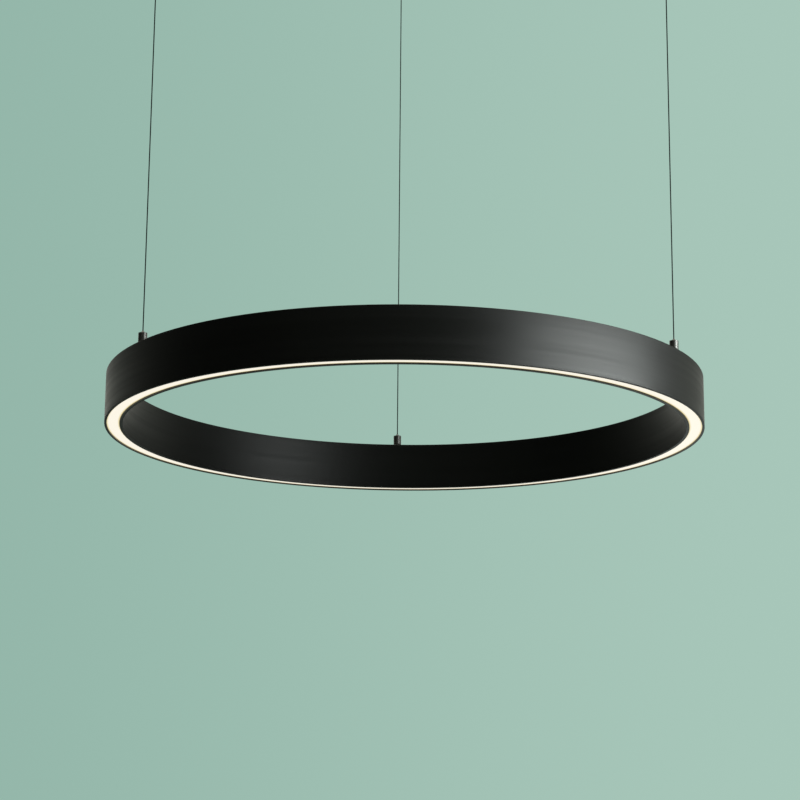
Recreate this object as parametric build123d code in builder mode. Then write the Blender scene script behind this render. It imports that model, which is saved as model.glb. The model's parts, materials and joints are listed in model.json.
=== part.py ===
"""LED ring pendant light, hung from the ceiling on three wires. Millimetres, +Z up.

The origin is on the ceiling, on the axis of the ring. The rear wire is at +Y and the light's front faces -Y.
"""

import os
from math import acos, asin, cos, degrees, radians, sin, sqrt, tan

from build123d import *

# Ring channel: an inverted U of aluminium, with lips that carry the diffuser and ribs inside
ring_diameter = 600.0
ring_height = 50.0
ring_width = 18.2
channel_wall = 1.6
channel_top = 2.5
outer_lip_width = 0.8
inner_lip_width = 1.7
lip_thickness = 1.3
rib_width = 1.0
rib_thickness = 1.0
outer_edge_radius = 0.4

# Light: diffuser, tray that spreads the heat, flexible board and its chips
diffuser_thickness = 2.0
diffuser_play = 0.2
tray_height = 15.0
tray_thickness = 1.5
tray_play = 0.1
strip_thickness = 0.3
strip_margin = 0.6
chip_count = 90
chip_length = 3.5
chip_width = 2.8
chip_thickness = 0.7

# Driver module and its wiring, in the hollow above the tray at the front of the ring
driver_length = 56.0
driver_height = 16.0
driver_play = 0.4
ear_length = 7.0
ear_width = 5.0
ear_thickness = 1.5
screw_diameter = 2.2
screw_head_diameter = 3.8
screw_head_height = 1.2
screw_play = 0.1
pin_diameter = 1.2
pin_spacing = 8.0
pin_play = 0.3
pin_stub = 0.4
lead_diameter = 1.6
screw_lead_gap = 0.5
lead_end_gap = 0.15
clip_size = 4.0
clip_cap = 0.8
clip_play = 0.1
clips_per_lead = 3

# Suspension: how far below the ceiling the ring hangs, how far it sways each way,
# and how far it can be raised
ring_drop = 600.0
sway_angle = 10.0
raise_travel = 18.0
wire_diameter = 1.2
wire_play = 0.15
wire_tail = 2.0
crimp_play = 0.02

# Ball joints at both ends of each wire: ball, spherical liner and seat
ball_diameter = 5.2
ball_play = 0.08
liner_thickness = 0.4
liner_rim = 0.3
swing_gap = 0.15
seat_wall = 1.0
seat_flange_play = 0.5
seat_flange_thickness = 2.8
seat_fit = 0.05
mouth_lip = 0.6
collar_width = 1.6
collar_height = 0.6
contact_wall = 1.0
contact_gap = 0.12
contact_plate = 0.6
tab_width = 3.0
tab_gap = 0.5

# Wire grippers on the ring: body, swivel stem, clamping balls, spring and release tip
gripper_diameter = 8.6
gripper_height = 10.1
gripper_edge = 0.35
gripper_crown = 1.25
neck_diameter = 2.6
plug_diameter = 6.0
plug_height = 3.0
clamp_ball_diameter = 1.5
clamp_ball_count = 3
clamp_play = 0.04
clamp_taper = 10.0
tip_diameter = 3.0
tip_height = 1.9
tip_point_diameter = 2.0
tip_point_height = 1.1
tip_collar_width = 0.35
tip_collar_height = 0.25
tip_travel = 1.4
tip_play = 0.05
spring_diameter = 3.0
spring_wire = 0.3
spring_turns = 4.5

# Ceiling ends: screwed base, cup, and the wire's crimped end inside
cup_diameter = 24.0
cup_height = 26.0
cup_wall = 2.0
cup_floor = 3.0
cup_edge = 1.0
cup_gap = 0.5
base_height = 6.0
base_play = 0.05
ceiling_hole_diameter = 4.5
lead_hole_diameter = 4.0
lead_hole_offset = 6.0
grub_diameter = 3.0
grub_play = 0.05
grub_depth = 3.5
nozzle_drop = 1.0
nozzle_chamfer = 0.5
pivot_over_nozzle = 5.0
nipple_flange_width = 3.0
nipple_flange_thickness = 1.5
shank_diameter = 3.0
shank_height = 2.4
terminal_plate = 0.8
terminal_width = 2.6
post_diameter = 3.2
post_height = 5.0

# Places that follow from the sizes above
wire_angles = {"rear": 90.0, "left": 210.0, "right": 330.0}
front_angle = 270.0
feed_turns = {"left": 1, "right": -1}
wire_radius = wire_diameter / 2
wire_circle = (ring_diameter - ring_width) / 2
ring_top = -ring_drop
ring_bottom = ring_top - ring_height
cavity_width = ring_width - 2 * channel_wall
cavity_top = ring_top - channel_top
rib_clear_width = cavity_width - 2 * rib_width
band_width = cavity_width - outer_lip_width - inner_lip_width
band_circle = wire_circle + (inner_lip_width - outer_lip_width) / 2
diffuser_underside = ring_bottom + lip_thickness
diffuser_rib = diffuser_underside + diffuser_thickness + diffuser_play
tray_underside = ring_bottom + tray_height
tray_upper = tray_underside + tray_thickness
strip_underside = tray_underside - strip_thickness
chip_underside = strip_underside - chip_thickness
chip_pitch = 360 / chip_count

driver_bow = wire_circle - sqrt(wire_circle**2 - (driver_length / 2) ** 2)
driver_width = rib_clear_width - driver_bow - 2 * driver_play
driver_circle = wire_circle - driver_bow / 2
ear_middle = (driver_length + ear_length) / 2
lead_radius = lead_diameter / 2
lead_level = tray_upper + ear_thickness + screw_head_height + screw_lead_gap + lead_radius
pin_x = pin_spacing / 2

lean_angle = degrees(acos(cos(radians(sway_angle)) ** 2))
lean_slope = tan(radians(lean_angle))
lean_cosine = cos(radians(lean_angle))
sway_slope = tan(radians(sway_angle))
ball_radius = ball_diameter / 2
liner_inner = ball_radius + ball_play
liner_outer = liner_inner + liner_thickness
socket_radius = liner_outer + ball_play
neck_radius = neck_diameter / 2
bore_radius = wire_radius + wire_play

seat_mouth = neck_radius / lean_cosine + socket_radius * lean_slope + swing_gap
seat_mouth_height = sqrt(socket_radius**2 - seat_mouth**2)
seat_over_pivot = seat_mouth_height + mouth_lip
seat_upper = ring_top + collar_height
pivot = seat_upper - seat_over_pivot
seat_stem = socket_radius + seat_wall
seat_flange = cavity_width / 2 - seat_flange_play
seat_underside = cavity_top - seat_flange_thickness
contact_outer = socket_radius - seat_fit
contact_bore = contact_outer - contact_wall
contact_upper = pivot - sqrt(ball_radius**2 - contact_bore**2) - contact_gap
contact_underside = seat_underside - contact_plate
wire_bottom = contact_underside - wire_tail
tail_reach = (pivot - wire_bottom + raise_travel) * lean_slope + wire_radius / lean_cosine
tab_inner = max(tail_reach + tab_gap, seat_flange)
tab_turn = degrees(asin((tab_inner + contact_plate) / wire_circle))
lead_gap_turn = degrees(lead_end_gap / wire_circle)
driver_turn = degrees(asin(driver_length / 2 / wire_circle))

gripper_radius = gripper_diameter / 2
gripper_lift = (seat_over_pivot + swing_gap + gripper_radius * sin(radians(lean_angle))) / lean_cosine
gripper_bottom = pivot + gripper_lift
gripper_upper = gripper_bottom + gripper_height
plug_radius = plug_diameter / 2
plug_upper = gripper_bottom + plug_height
shoulder = gripper_upper - gripper_crown
tip_radius = tip_diameter / 2
tip_collar = tip_radius + tip_collar_width
tip_underside = shoulder - tip_play - tip_collar_height
clamp_ball_radius = clamp_ball_diameter / 2
clamp_circle = wire_radius + clamp_ball_radius + clamp_play
clamp_level = tip_underside - clamp_play - clamp_ball_radius
taper_slope = tan(radians(clamp_taper))
taper_radius = clamp_circle + clamp_ball_radius / cos(radians(clamp_taper)) + clamp_play
taper_bottom = clamp_level - clamp_ball_radius - tip_travel
chamber_radius = taper_radius + (clamp_level - taper_bottom) * taper_slope
shoulder_radius = taper_radius - (shoulder - clamp_level) * taper_slope
spring_upper = clamp_level - clamp_ball_radius - clamp_play

cup_radius = cup_diameter / 2
cup_inner = cup_radius - cup_wall
cup_upper = -cup_gap
cup_lower = cup_upper - cup_height
cup_floor_upper = cup_lower + cup_floor
nozzle_lower = cup_lower - nozzle_drop
nipple_pivot = nozzle_lower + pivot_over_nozzle
nipple_mouth = wire_radius / lean_cosine + pivot_over_nozzle * lean_slope + swing_gap
nipple_mouth_depth = sqrt(socket_radius**2 - nipple_mouth**2)
nipple_flange = seat_stem + nipple_flange_width
nipple_flange_upper = cup_floor_upper + nipple_flange_thickness
shank_upper = nipple_pivot + ball_radius + shank_height
post_offset = ball_radius + terminal_width
wire_length = shank_upper - wire_bottom

FROM_BELOW = (Align.CENTER, Align.CENTER, Align.MIN)
FROM_ABOVE = (Align.CENTER, Align.CENTER, Align.MAX)


def hang_place(angle):
    """Where a wire hangs, seen from above."""
    return Vector(wire_circle * cos(radians(angle)), wire_circle * sin(radians(angle)), 0)


def turning_plane(place):
    """An upright plane through a wire, for outlines of radius and height."""
    return Plane(origin=place, x_dir=(1, 0, 0), z_dir=(0, -1, 0))


def turning_axis(place):
    return Axis(place, (0, 0, 1))


def radial_plane(angle):
    """An upright plane from the ring's axis outwards."""
    across = radians(angle)
    return Plane(origin=(0, 0, 0), x_dir=(cos(across), sin(across), 0), z_dir=(sin(across), -cos(across), 0))


def tangent_plane(angle, turn):
    """A level plane at a wire, with its x along the ring, the way that turn (1 or -1) goes round."""
    across = radians(angle)
    return Plane(
        origin=hang_place(angle),
        x_dir=(-turn * sin(across), turn * cos(across), 0),
        z_dir=(0, 0, 1),
    )


def driver_pair(distance, level):
    """Two places on the driver's line, left and right of its middle."""
    return Locations((-distance, -driver_circle, level), (distance, -driver_circle, level))


def save(builder, label):
    builder.part.label = label
    export_step(builder.part, f"parts/{label}.step")


def make_ring_housing():
    with BuildPart() as housing:
        with BuildSketch(Plane.XZ) as section:
            with Locations((wire_circle, ring_bottom + ring_height / 2)):
                Rectangle(ring_width, ring_height)
            fillet(section.vertices(), outer_edge_radius)
            with Locations((wire_circle, diffuser_underside)):
                Rectangle(
                    cavity_width,
                    cavity_top - diffuser_underside,
                    align=(Align.CENTER, Align.MIN),
                    mode=Mode.SUBTRACT,
                )
            with Locations((band_circle, ring_bottom)):
                Rectangle(band_width, lip_thickness, align=(Align.CENTER, Align.MIN), mode=Mode.SUBTRACT)
            rib_levels = (
                diffuser_rib,
                tray_underside - tray_play - rib_thickness,
                tray_upper + tray_play,
            )
            for level in rib_levels:
                with Locations((wire_circle - cavity_width / 2, level)):
                    Rectangle(rib_width, rib_thickness, align=(Align.MIN, Align.MIN))
                with Locations((wire_circle + cavity_width / 2, level)):
                    Rectangle(rib_width, rib_thickness, align=(Align.MAX, Align.MIN))
        revolve(axis=Axis.Z)
        with Locations(Plane.XY.offset(ring_top)):
            with PolarLocations(wire_circle, len(wire_angles), start_angle=wire_angles["rear"]):
                Hole(seat_stem + seat_fit, depth=channel_top)
    save(housing, "ring_housing")


def make_light():
    with BuildPart() as diffuser:
        with BuildSketch(Plane.XY.offset(diffuser_underside)):
            Circle(wire_circle + cavity_width / 2 - diffuser_play)
            Circle(wire_circle - cavity_width / 2 + diffuser_play, mode=Mode.SUBTRACT)
        extrude(amount=diffuser_thickness)
    save(diffuser, "light_diffuser")

    with BuildPart() as tray:
        with BuildSketch(Plane.XY.offset(tray_underside)):
            Circle(wire_circle + cavity_width / 2 - tray_play)
            Circle(wire_circle - cavity_width / 2 + tray_play, mode=Mode.SUBTRACT)
            with Locations((-ear_middle, -driver_circle), (ear_middle, -driver_circle)):
                Circle(screw_diameter / 2 + screw_play, mode=Mode.SUBTRACT)
            with Locations((-pin_x, -driver_circle), (pin_x, -driver_circle)):
                Circle(pin_diameter / 2 + pin_play, mode=Mode.SUBTRACT)
        extrude(amount=tray_thickness)
    save(tray, "led_tray")

    with BuildPart() as strip:
        with BuildSketch(Plane.XY.offset(strip_underside)):
            Circle(wire_circle + rib_clear_width / 2 - strip_margin)
            Circle(wire_circle - rib_clear_width / 2 + strip_margin, mode=Mode.SUBTRACT)
            with Locations((-ear_middle, -driver_circle), (ear_middle, -driver_circle)):
                Circle(screw_diameter / 2 + screw_play, mode=Mode.SUBTRACT)
            with Locations((-pin_x, -driver_circle), (pin_x, -driver_circle)):
                Circle(pin_diameter / 2 + pin_play, mode=Mode.SUBTRACT)
        extrude(amount=strip_thickness)
    save(strip, "led_strip")

    with BuildPart() as chips:
        with BuildSketch(Plane.XY.offset(chip_underside)):
            with PolarLocations(wire_circle, chip_count, start_angle=front_angle + chip_pitch / 2):
                Rectangle(chip_width, chip_length)
        extrude(amount=chip_thickness)
    save(chips, "led_chips")


def make_driver():
    with BuildPart() as driver:
        with Locations((0, -driver_circle, tray_upper)):
            Box(driver_length, driver_width, driver_height, align=FROM_BELOW)
        upper_edges = driver.edges().group_by(Axis.Z)[-1]
        fillet(upper_edges, ear_thickness / 2)
        with driver_pair(ear_middle, tray_upper):
            Box(ear_length, ear_width, ear_thickness, align=FROM_BELOW)
        with driver_pair(ear_middle, tray_upper):
            Cylinder(
                screw_diameter / 2 + screw_play,
                ear_thickness,
                align=FROM_BELOW,
                mode=Mode.SUBTRACT,
            )
    save(driver, "led_driver")

    with BuildPart() as screws:
        with driver_pair(ear_middle, tray_upper + ear_thickness):
            Cylinder(screw_head_diameter / 2, screw_head_height, align=FROM_BELOW)
            Cylinder(screw_diameter / 2, ear_thickness + tray_thickness, align=FROM_ABOVE)
    save(screws, "driver_screws")

    with BuildPart() as pins:
        with driver_pair(pin_x, tray_upper):
            Cylinder(
                pin_diameter / 2,
                tray_thickness + strip_thickness + pin_stub,
                align=FROM_ABOVE,
            )
    save(pins, "output_pins")


def make_leads():
    left_start = wire_angles["left"] + tab_turn + lead_gap_turn
    left_end = front_angle - driver_turn - lead_gap_turn
    lead_span = left_end - left_start
    lead_starts = {"left": left_start, "right": 2 * front_angle - left_end}
    for name, start in lead_starts.items():
        with BuildPart() as lead:
            with BuildSketch(radial_plane(start)):
                with Locations((wire_circle, lead_level)):
                    Circle(lead_radius)
            revolve(axis=Axis.Z, revolution_arc=lead_span)
        save(lead, f"{name}_feed_lead")

    clip_turn = lead_span / (clips_per_lead + 1)
    clip_height = lead_level + lead_radius + clip_cap - tray_upper
    with BuildPart() as clips:
        with Locations(Plane.XY.offset(tray_upper)):
            for start in lead_starts.values():
                with PolarLocations(
                    wire_circle,
                    clips_per_lead,
                    start_angle=start + clip_turn,
                    angular_range=lead_span - 2 * clip_turn,
                    endpoint=True,
                ):
                    Box(clip_size, clip_size, clip_height, align=FROM_BELOW)
        with Locations(Plane.XY.offset(lead_level)):
            for start in lead_starts.values():
                with PolarLocations(
                    wire_circle,
                    clips_per_lead,
                    start_angle=start + clip_turn,
                    angular_range=lead_span - 2 * clip_turn,
                    endpoint=True,
                ):
                    Cylinder(
                        lead_radius + clip_play,
                        2 * clip_size,
                        rotation=(90, 0, 0),
                        mode=Mode.SUBTRACT,
                    )
    save(clips, "lead_clips")


def make_ceiling_base(name, place):
    with BuildPart() as base:
        with BuildSketch(Plane.XY):
            with Locations((place.X, place.Y)):
                Circle(cup_inner - base_play)
                Circle(ceiling_hole_diameter / 2, mode=Mode.SUBTRACT)
            with Locations((place.X, place.Y - lead_hole_offset)):
                Circle(lead_hole_diameter / 2, mode=Mode.SUBTRACT)
        extrude(amount=-base_height)
    save(base, f"{name}_ceiling_base")


def make_ceiling_cup(name, place):
    with BuildPart() as cup:
        with BuildSketch(turning_plane(place)):
            with BuildLine():
                Polyline(
                    (seat_stem + seat_fit, cup_lower),
                    (cup_radius, cup_lower),
                    (cup_radius, cup_upper),
                    (cup_inner, cup_upper),
                    (cup_inner, cup_floor_upper),
                    (seat_stem + seat_fit, cup_floor_upper),
                    close=True,
                )
            make_face()
        revolve(axis=turning_axis(place))
        lower_rim = cup.edges().filter_by(GeomType.CIRCLE).group_by(Axis.Z)[0].sort_by(SortBy.RADIUS)[-1]
        fillet(lower_rim, cup_edge)
        with Locations((place.X, place.Y + cup_radius - cup_wall / 2, -grub_depth)):
            Cylinder(
                grub_diameter / 2 + grub_play,
                2 * cup_wall,
                rotation=(90, 0, 0),
                mode=Mode.SUBTRACT,
            )
    save(cup, f"{name}_ceiling_cup")


def make_cup_grub_screws(places):
    with BuildPart() as grubs:
        for place in places:
            with Locations((place.X, place.Y + cup_radius - cup_wall / 2, -grub_depth)):
                Cylinder(grub_diameter / 2, cup_wall, rotation=(90, 0, 0))
    save(grubs, "cup_grub_screws")


def make_nipple_seat(name, place):
    with BuildPart() as seat:
        with BuildSketch(turning_plane(place)):
            with BuildLine():
                Polyline(
                    (nipple_mouth, nipple_pivot - nipple_mouth_depth),
                    (nipple_mouth, nozzle_lower),
                    (seat_stem - nozzle_chamfer, nozzle_lower),
                    (seat_stem, nozzle_lower + nozzle_chamfer),
                    (seat_stem, cup_floor_upper),
                    (nipple_flange, cup_floor_upper),
                    (nipple_flange, nipple_flange_upper),
                    (socket_radius, nipple_flange_upper),
                    (socket_radius, nipple_pivot),
                )
                middle = radians(45)
                ThreePointArc(
                    (socket_radius, nipple_pivot),
                    (socket_radius * cos(middle), nipple_pivot - socket_radius * sin(middle)),
                    (nipple_mouth, nipple_pivot - nipple_mouth_depth),
                )
            make_face()
        revolve(axis=turning_axis(place))
    save(seat, f"{name}_nipple_seat")


def make_nipple_liner(name, place):
    liner_mouth = wire_radius / cos(radians(sway_angle)) + socket_radius * sway_slope + swing_gap
    with BuildPart() as liner:
        with Locations((place.X, place.Y, nipple_pivot)):
            Sphere(liner_outer)
            Sphere(liner_inner, mode=Mode.SUBTRACT)
            Cylinder(liner_mouth, 2 * socket_radius, mode=Mode.SUBTRACT)
        split(bisect_by=Plane.XY.offset(nipple_pivot - liner_rim), keep=Keep.BOTTOM)
    save(liner, f"{name}_nipple_liner")


def make_wire_nipple(name, place):
    with BuildPart() as nipple:
        with Locations((place.X, place.Y, nipple_pivot)):
            Sphere(ball_radius)
            Cylinder(shank_diameter / 2, ball_radius + shank_height, align=FROM_BELOW)
        with Locations((place.X, place.Y, shank_upper)):
            Hole(wire_radius + crimp_play)
    save(nipple, f"{name}_wire_nipple")


def make_wire(name, place):
    with BuildPart() as wire:
        with BuildSketch(Plane.XY.offset(wire_bottom)):
            with Locations((place.X, place.Y)):
                Circle(wire_radius)
        extrude(amount=wire_length)
    save(wire, f"{name}_wire")


def make_supply_terminal(name, place):
    with BuildPart() as terminal:
        with BuildSketch(Plane.XY.offset(nipple_flange_upper)):
            with Locations((place.X, place.Y)):
                Circle(ball_radius + terminal_width)
                Circle(ball_radius + contact_gap, mode=Mode.SUBTRACT)
        extrude(amount=terminal_plate)
        with Locations((place.X, place.Y - post_offset, nipple_flange_upper)):
            Cylinder(post_diameter / 2, terminal_plate + post_height, align=FROM_BELOW)
    save(terminal, f"{name}_supply_terminal")


def make_swivel_seat(name, place):
    with BuildPart() as seat:
        with BuildSketch(turning_plane(place)):
            with BuildLine():
                Polyline(
                    (seat_mouth, pivot + seat_mouth_height),
                    (seat_mouth, seat_upper),
                    (seat_stem, seat_upper),
                    (seat_stem, cavity_top),
                    (seat_flange, cavity_top),
                    (seat_flange, seat_underside),
                    (socket_radius, seat_underside),
                    (socket_radius, pivot),
                )
                middle = radians(30)
                ThreePointArc(
                    (socket_radius, pivot),
                    (socket_radius * cos(middle), pivot + socket_radius * sin(middle)),
                    (seat_mouth, pivot + seat_mouth_height),
                )
            make_face()
        revolve(axis=turning_axis(place))
    save(seat, f"{name}_swivel_seat")


def make_swivel_liner(name, place):
    liner_mouth = neck_radius / cos(radians(sway_angle)) + socket_radius * sway_slope + swing_gap
    with BuildPart() as liner:
        with Locations((place.X, place.Y, pivot)):
            Sphere(liner_outer)
            Sphere(liner_inner, mode=Mode.SUBTRACT)
            Cylinder(liner_mouth, 2 * socket_radius, mode=Mode.SUBTRACT)
        split(bisect_by=Plane.XY.offset(pivot + liner_rim), keep=Keep.TOP)
    save(liner, f"{name}_swivel_liner")


def make_seat_collar(name, place):
    with BuildPart() as collar:
        with BuildSketch(Plane.XY.offset(ring_top)):
            with Locations((place.X, place.Y)):
                Circle(seat_stem + seat_fit + collar_width)
                Circle(seat_stem + seat_fit, mode=Mode.SUBTRACT)
        extrude(amount=collar_height)
        upper_rim = collar.edges().group_by(Axis.Z)[-1].sort_by(SortBy.RADIUS)[-1]
        fillet(upper_rim, outer_edge_radius)
    save(collar, f"{name}_seat_collar")


def make_contact_ring(name):
    """The ball's retainer. On a live wire it has a tab down to the feed lead."""
    with BuildPart(tangent_plane(wire_angles[name], feed_turns.get(name, 1))) as contact:
        with Locations((0, 0, contact_underside)):
            Cylinder(seat_flange, contact_plate, align=FROM_BELOW)
            Cylinder(contact_outer, contact_upper - contact_underside, align=FROM_BELOW)
            if name in feed_turns:
                Box(
                    tab_inner + contact_plate,
                    tab_width,
                    contact_plate,
                    align=(Align.MIN, Align.CENTER, Align.MIN),
                )
            Cylinder(
                contact_bore,
                contact_upper - contact_underside,
                align=FROM_BELOW,
                mode=Mode.SUBTRACT,
            )
        if name in feed_turns:
            with Locations((tab_inner, 0, lead_level - lead_radius)):
                Box(
                    contact_plate,
                    tab_width,
                    contact_underside + contact_plate - lead_level + lead_radius,
                    align=(Align.MIN, Align.CENTER, Align.MIN),
                )
    save(contact, f"{name}_contact_ring")


def make_swivel_stem(name, place):
    with BuildPart() as stem:
        with Locations((place.X, place.Y, pivot)):
            Sphere(ball_radius)
            Cylinder(neck_radius, gripper_lift, align=FROM_BELOW)
        with Locations((place.X, place.Y, gripper_bottom)):
            Cylinder(plug_radius, plug_height, align=FROM_BELOW)
        with Locations((place.X, place.Y, plug_upper)):
            Hole(bore_radius)
    save(stem, f"{name}_swivel_stem")


def make_gripper_body(name, place):
    with BuildPart() as body:
        with BuildSketch(turning_plane(place)):
            with BuildLine():
                Polyline(
                    (plug_radius + seat_fit, gripper_bottom),
                    (gripper_radius, gripper_bottom),
                    (gripper_radius, gripper_upper),
                    (tip_radius + tip_play, gripper_upper),
                    (tip_radius + tip_play, shoulder),
                    (shoulder_radius, shoulder),
                    (chamber_radius, taper_bottom),
                    (chamber_radius, plug_upper),
                    (plug_radius + seat_fit, plug_upper),
                    close=True,
                )
            make_face()
        revolve(axis=turning_axis(place))
        upper_rim = body.edges().group_by(Axis.Z)[-1].sort_by(SortBy.RADIUS)[-1]
        lower_rim = body.edges().group_by(Axis.Z)[0].sort_by(SortBy.RADIUS)[-1]
        fillet([upper_rim, lower_rim], gripper_edge)
    save(body, f"{name}_gripper_body")


def make_gripper_spring(name, place):
    spring_height = spring_upper - plug_upper - spring_wire
    spring_start = Vector(place.X, place.Y, plug_upper + spring_wire / 2)
    with BuildPart() as spring:
        with BuildLine() as coil:
            Helix(spring_height / spring_turns, spring_height, spring_diameter / 2, center=spring_start)
        with BuildSketch(Plane(origin=coil.line @ 0, z_dir=coil.line % 0)):
            Circle(spring_wire / 2)
        sweep(is_frenet=True)
    save(spring, f"{name}_gripper_spring")


def make_clamp_balls(name, place):
    with BuildPart() as balls:
        with Locations((place.X, place.Y, clamp_level)):
            with PolarLocations(clamp_circle, clamp_ball_count):
                Sphere(clamp_ball_radius)
    save(balls, f"{name}_clamp_balls")


def make_release_tip(name, place):
    tip_upper = gripper_upper + tip_height
    with BuildPart() as tip:
        with BuildSketch(turning_plane(place)):
            with BuildLine():
                Polyline(
                    (bore_radius, tip_underside),
                    (tip_collar, tip_underside),
                    (tip_collar, tip_underside + tip_collar_height),
                    (tip_radius, tip_underside + tip_collar_height),
                    (tip_radius, tip_upper - tip_point_height),
                    (tip_point_diameter / 2, tip_upper),
                    (bore_radius, tip_upper),
                    close=True,
                )
            make_face()
        revolve(axis=turning_axis(place))
    save(tip, f"{name}_release_tip")


os.makedirs("parts", exist_ok=True)
make_ring_housing()
make_light()
make_driver()
make_leads()

places = {name: hang_place(angle) for name, angle in wire_angles.items()}
make_cup_grub_screws(places.values())
for name, place in places.items():
    make_ceiling_base(name, place)
    make_ceiling_cup(name, place)
    make_nipple_seat(name, place)
    make_nipple_liner(name, place)
    make_wire_nipple(name, place)
    make_wire(name, place)
    make_swivel_seat(name, place)
    make_swivel_liner(name, place)
    make_seat_collar(name, place)
    make_contact_ring(name)
    make_swivel_stem(name, place)
    make_gripper_body(name, place)
    make_gripper_spring(name, place)
    make_clamp_balls(name, place)
    make_release_tip(name, place)
    if name in feed_turns:
        make_supply_terminal(name, place)

print(f"each wire is {wire_length:.1f} mm long, from its crimped end to its tail in the ring")
print(f"swivel pivots at {nipple_pivot:.3f} and {pivot:.3f}, wire circle {wire_circle:.3f}")
print(f"the band of light is {band_width:.1f} mm wide, on a circle of {band_circle:.2f} mm radius")
gripper_from = gripper_bottom - ring_top
gripper_to = gripper_upper + tip_height - ring_top
print(f"each gripper stands from {gripper_from:.2f} to {gripper_to:.2f} mm over the ring")
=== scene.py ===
# %% [markdown]
# # A ring of light on three wires
#
# This pendant is a rolled aluminium channel, painted satin black, with a band of warm light in its
# underside. Three thin wire ropes hold it level, and each ends in a small polished gripper on the ring's
# upper face. The solids arrive as a fixed frame, so this lesson only dresses them: it lays the ropes, winds
# the springs, makes the finishes, and sets up the camera and a plain studio.

# %% Open the frame
import json
from math import cos, pi, radians, sin

import bpy
from mathutils import Matrix, Vector

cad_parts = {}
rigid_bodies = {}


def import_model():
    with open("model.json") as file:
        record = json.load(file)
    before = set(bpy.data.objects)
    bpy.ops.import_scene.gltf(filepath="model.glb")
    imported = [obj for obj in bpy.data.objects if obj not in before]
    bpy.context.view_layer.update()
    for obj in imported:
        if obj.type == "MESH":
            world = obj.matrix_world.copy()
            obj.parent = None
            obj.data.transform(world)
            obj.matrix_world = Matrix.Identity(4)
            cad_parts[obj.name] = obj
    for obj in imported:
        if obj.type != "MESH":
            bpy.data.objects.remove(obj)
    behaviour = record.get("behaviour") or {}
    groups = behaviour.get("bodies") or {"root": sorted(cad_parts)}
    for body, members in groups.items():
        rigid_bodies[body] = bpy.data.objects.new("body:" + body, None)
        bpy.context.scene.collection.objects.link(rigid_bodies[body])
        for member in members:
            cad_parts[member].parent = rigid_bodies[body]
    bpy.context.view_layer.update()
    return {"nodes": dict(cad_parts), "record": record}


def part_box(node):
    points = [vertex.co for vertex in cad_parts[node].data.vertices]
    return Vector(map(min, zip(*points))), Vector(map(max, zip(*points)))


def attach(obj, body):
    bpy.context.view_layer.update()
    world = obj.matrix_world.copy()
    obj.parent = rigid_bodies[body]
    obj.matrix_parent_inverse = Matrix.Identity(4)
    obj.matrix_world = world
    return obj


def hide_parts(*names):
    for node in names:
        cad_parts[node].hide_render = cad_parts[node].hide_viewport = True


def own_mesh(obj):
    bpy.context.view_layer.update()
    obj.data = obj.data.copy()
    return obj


for leftover in list(bpy.data.objects):
    bpy.data.objects.remove(leftover)
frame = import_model()
SIDES = ("rear", "left", "right")
ring_low, ring_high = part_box("ring_housing")
ring_radius = (ring_high.x - ring_low.x) / 2
print("ring", round(2000 * ring_radius), "mm across, its underside", round(-1000 * ring_low.z), "mm down")

# %% [markdown]
# ## The camera
#
# The light is seen from a little below, so that the band of light shows all the way round. The height of the
# camera and its distance decide how open the ring's oval looks, and the lens only decides how large it is.
# The distance is given in ring radii, from the middle of the underside, which keeps it readable.

# %% Camera
CAMERA_DISTANCE = 7.15
CAMERA_BELOW = radians(12.51)
CAMERA_ROUND = radians(-1.55)
CAMERA_TILT = radians(13.424)
CAMERA_PAN = radians(0.125)
CAMERA_ROLL = radians(0.485)
LENS_MM = 95.73

camera = bpy.data.objects.new("camera", bpy.data.cameras.new("camera"))
bpy.context.scene.collection.objects.link(camera)
camera.data.lens = LENS_MM
camera.data.sensor_width = 36.0
camera.data.clip_end = 100.0
turn_round = Matrix.Rotation(CAMERA_ROUND, 4, "Z")
aim = turn_round @ Matrix.Rotation(CAMERA_PAN, 4, "Z") @ Matrix.Rotation(pi / 2 + CAMERA_TILT, 4, "X")
aim = aim @ Matrix.Rotation(CAMERA_ROLL, 4, "Z")
from_ring = Vector((0, -cos(CAMERA_BELOW), -sin(CAMERA_BELOW))) * CAMERA_DISTANCE * ring_radius
camera.matrix_world = Matrix.Translation(turn_round @ from_ring + Vector((0, 0, ring_low.z))) @ aim
bpy.context.scene.camera = camera
bpy.context.scene.view_settings.view_transform = "Standard"
print("camera at", [round(c, 3) for c in camera.matrix_world.translation])

# %% [markdown]
# ## Routes of the three ropes
#
# A suspension rope is pulled straight by the ring's weight, so its route is one plumb line from the crimped
# nipple in the ceiling cup to its tail inside the ring. The line is a smooth spline, and the strands will
# follow the points that Blender reads from it.

# %% Rope routes
rope_low, rope_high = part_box("rear_wire")
ROPE_TOP, ROPE_BOTTOM = rope_high.z, rope_low.z
ROPE_CIRCLE = (rope_low.y + rope_high.y) / 2
ROPE_DIAMETER = rope_high.x - rope_low.x
ROPE_ANGLES = {"rear": radians(90), "left": radians(210), "right": radians(330)}


def rope_point(side, height):
    """The point of a rope's line at a height."""
    turn = ROPE_ANGLES[side]
    return Vector((ROPE_CIRCLE * cos(turn), ROPE_CIRCLE * sin(turn), height))


def lay_route(side):
    """A plumb spline from the nipple down to the tail."""
    line = bpy.data.curves.new(f"{side}_rope_route", "CURVE")
    line.dimensions = "3D"
    spline = line.splines.new("NURBS")
    heights = (ROPE_TOP, (ROPE_TOP + ROPE_BOTTOM) / 2, ROPE_BOTTOM)
    spline.points.add(len(heights) - 1)
    for point, height in zip(spline.points, heights):
        point.co = (*rope_point(side, height), 1.0)
    spline.order_u = 3
    spline.use_endpoint_u = True
    route = bpy.data.objects.new(line.name, line)
    bpy.context.scene.collection.objects.link(route)
    return route


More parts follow.
